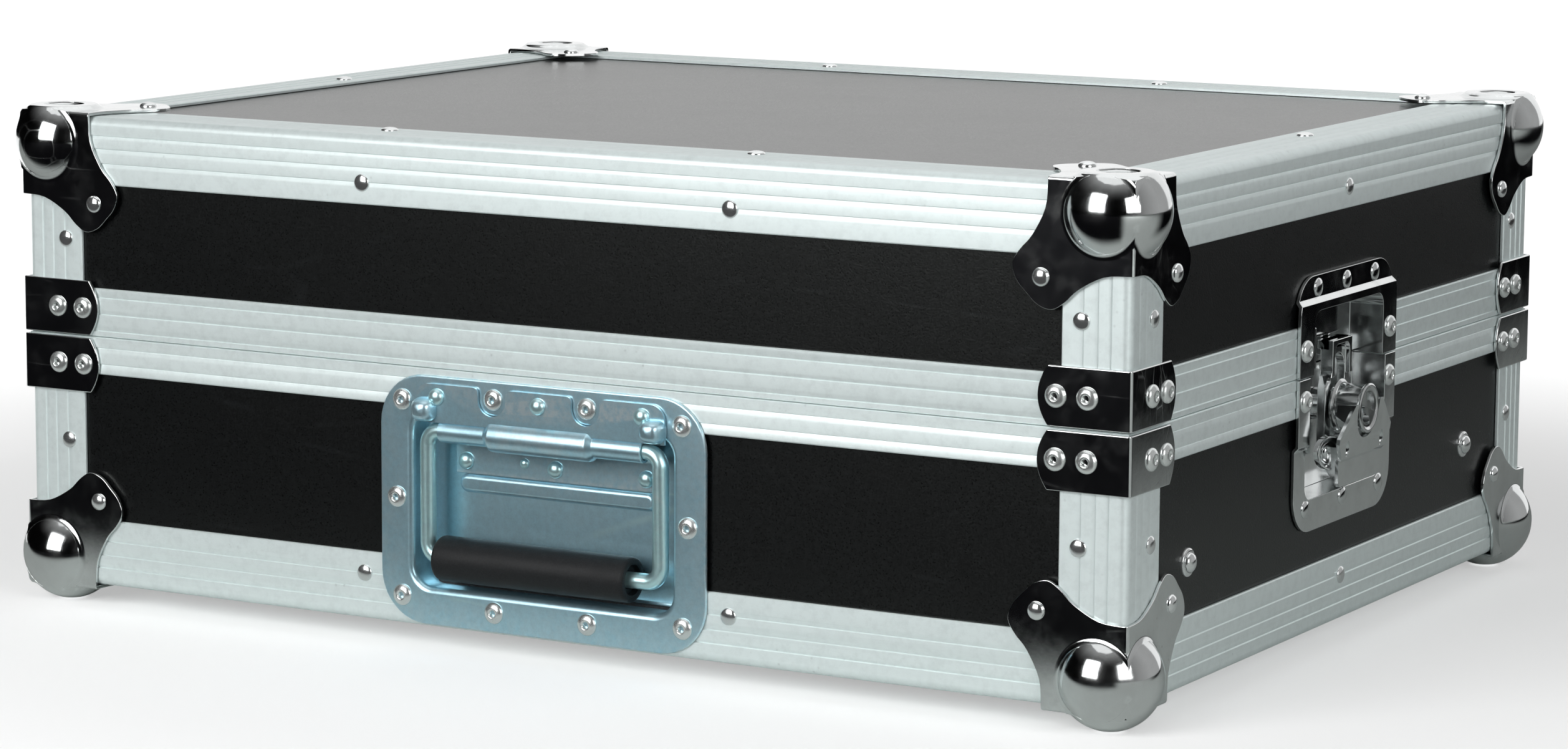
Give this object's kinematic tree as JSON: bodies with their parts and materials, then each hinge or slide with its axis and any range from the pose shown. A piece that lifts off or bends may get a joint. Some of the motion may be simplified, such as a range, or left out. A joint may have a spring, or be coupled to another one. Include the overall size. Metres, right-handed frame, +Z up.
{
  "type": "mixer flight case",
  "caption": "Low black flight case for a table mixer with aluminium edges, ball corners, a lift-off foam-lined lid, recessed spring handle, butterfly latches and inner rack strips.",
  "frame": {"origin": "centre of the footprint, on the ground under the ball corners", "axes": "+X to the right along the handle face, -Y out of the handle face, +Z up out of the lid"},
  "size_m": [0.568, 0.4506, 0.224],
  "materials": {
    "panel_laminate": "black textured laminate on plywood",
    "extrusion_aluminium": "satin anodised",
    "hardware_chrome": "bright chrome plate",
    "handle_zinc": "bright blue zinc plate",
    "grip_rubber": "matte moulded",
    "rack_steel": "zinc plate",
    "lining_foam": "closed-cell foam"
  },
  "bodies": {
    "base": {"base_walls": "panel_laminate", "base_floor": "panel_laminate", "base_foam": "lining_foam", "base_edge_front": "extrusion_aluminium", "base_edge_back": "extrusion_aluminium", "base_edge_left": "extrusion_aluminium", "base_edge_right": "extrusion_aluminium", "base_post_front_left": "extrusion_aluminium", "base_post_front_right": "extrusion_aluminium", "base_post_back_left": "extrusion_aluminium", "base_post_back_right": "extrusion_aluminium", "base_rim_front": "extrusion_aluminium", "base_rim_back": "extrusion_aluminium", "base_ball_front_left": "hardware_chrome", "base_ball_front_right": "hardware_chrome", "base_ball_back_left": "hardware_chrome", "base_ball_back_right": "hardware_chrome", "base_brace_front_left": "hardware_chrome", "base_brace_front_right": "hardware_chrome", "base_brace_back_left": "hardware_chrome", "base_brace_back_right": "hardware_chrome", "rack_strip_left": "rack_steel", "rack_strip_right": "rack_steel", "handle_dish": "handle_zinc", "handle_cover": "handle_zinc", "handle_spring": "rack_steel", "left_latch_dish": "hardware_chrome", "right_latch_dish": "hardware_chrome"},
    "lid": {"lid_walls": "panel_laminate", "lid_top": "panel_laminate", "lid_foam": "lining_foam", "lid_edge_front": "extrusion_aluminium", "lid_edge_back": "extrusion_aluminium", "lid_edge_left": "extrusion_aluminium", "lid_edge_right": "extrusion_aluminium", "lid_post_front_left": "extrusion_aluminium", "lid_post_front_right": "extrusion_aluminium", "lid_post_back_left": "extrusion_aluminium", "lid_post_back_right": "extrusion_aluminium", "lid_rim_front": "extrusion_aluminium", "lid_rim_back": "extrusion_aluminium", "lid_ball_front_left": "hardware_chrome", "lid_ball_front_right": "hardware_chrome", "lid_ball_back_left": "hardware_chrome", "lid_ball_back_right": "hardware_chrome", "lid_brace_front_left": "hardware_chrome", "lid_brace_front_right": "hardware_chrome", "lid_brace_back_left": "hardware_chrome", "lid_brace_back_right": "hardware_chrome", "left_latch_catch": "hardware_chrome", "right_latch_catch": "hardware_chrome"},
    "handle_bail": {"handle_bail": "handle_zinc", "handle_grip": "grip_rubber"},
    "right_spindle": {"right_latch_spindle": "hardware_chrome"},
    "right_hook": {"right_latch_hook": "hardware_chrome"},
    "right_wing": {"right_latch_wing": "hardware_chrome"},
    "left_spindle": {"left_latch_spindle": "hardware_chrome"},
    "left_hook": {"left_latch_hook": "hardware_chrome"},
    "left_wing": {"left_latch_wing": "hardware_chrome"}
  },
  "joints": [
    {"name": "lid_lift", "type": "slide", "parent": "base", "child": "lid", "axis": [0, 0, 1], "range_m": [0, 0.2]},
    {"name": "handle_swing", "type": "hinge", "parent": "base", "child": "handle_bail", "pos_m": [0, -0.215, 0.0958], "axis": [-1, 0, 0], "range_deg": [0, 90], "stiffness_Nm_per_rad": 0.2, "springref_deg": -11.46},
    {"name": "right_twist", "type": "hinge", "parent": "base", "child": "right_spindle", "pos_m": [0.272, 0, 0.1044], "axis": [1, 0, 0], "range_deg": [0, 180]},
    {"name": "right_fold", "type": "hinge", "parent": "right_spindle", "child": "right_wing", "pos_m": [0.277, 0, 0.1044], "axis": [0, -1, 0], "range_deg": [0, 90]},
    {"name": "right_hook_slide", "type": "slide", "parent": "base", "child": "right_hook", "axis": [0, 0, 1], "range_m": [0, 0.009]},
    {"name": "left_twist", "type": "hinge", "parent": "base", "child": "left_spindle", "pos_m": [-0.272, 0, 0.1044], "axis": [-1, 0, 0], "range_deg": [0, 180]},
    {"name": "left_fold", "type": "hinge", "parent": "left_spindle", "child": "left_wing", "pos_m": [-0.277, 0, 0.1044], "axis": [0, 1, 0], "range_deg": [0, 90]},
    {"name": "left_hook_slide", "type": "slide", "parent": "base", "child": "left_hook", "axis": [0, 0, 1], "range_m": [0, 0.009]}
  ],
  "couplings": [
    {"joint": "right_hook_slide", "follows": "right_twist", "m_per_rad": 0.002864},
    {"joint": "left_hook_slide", "follows": "left_twist", "m_per_rad": 0.002864}
  ]
}
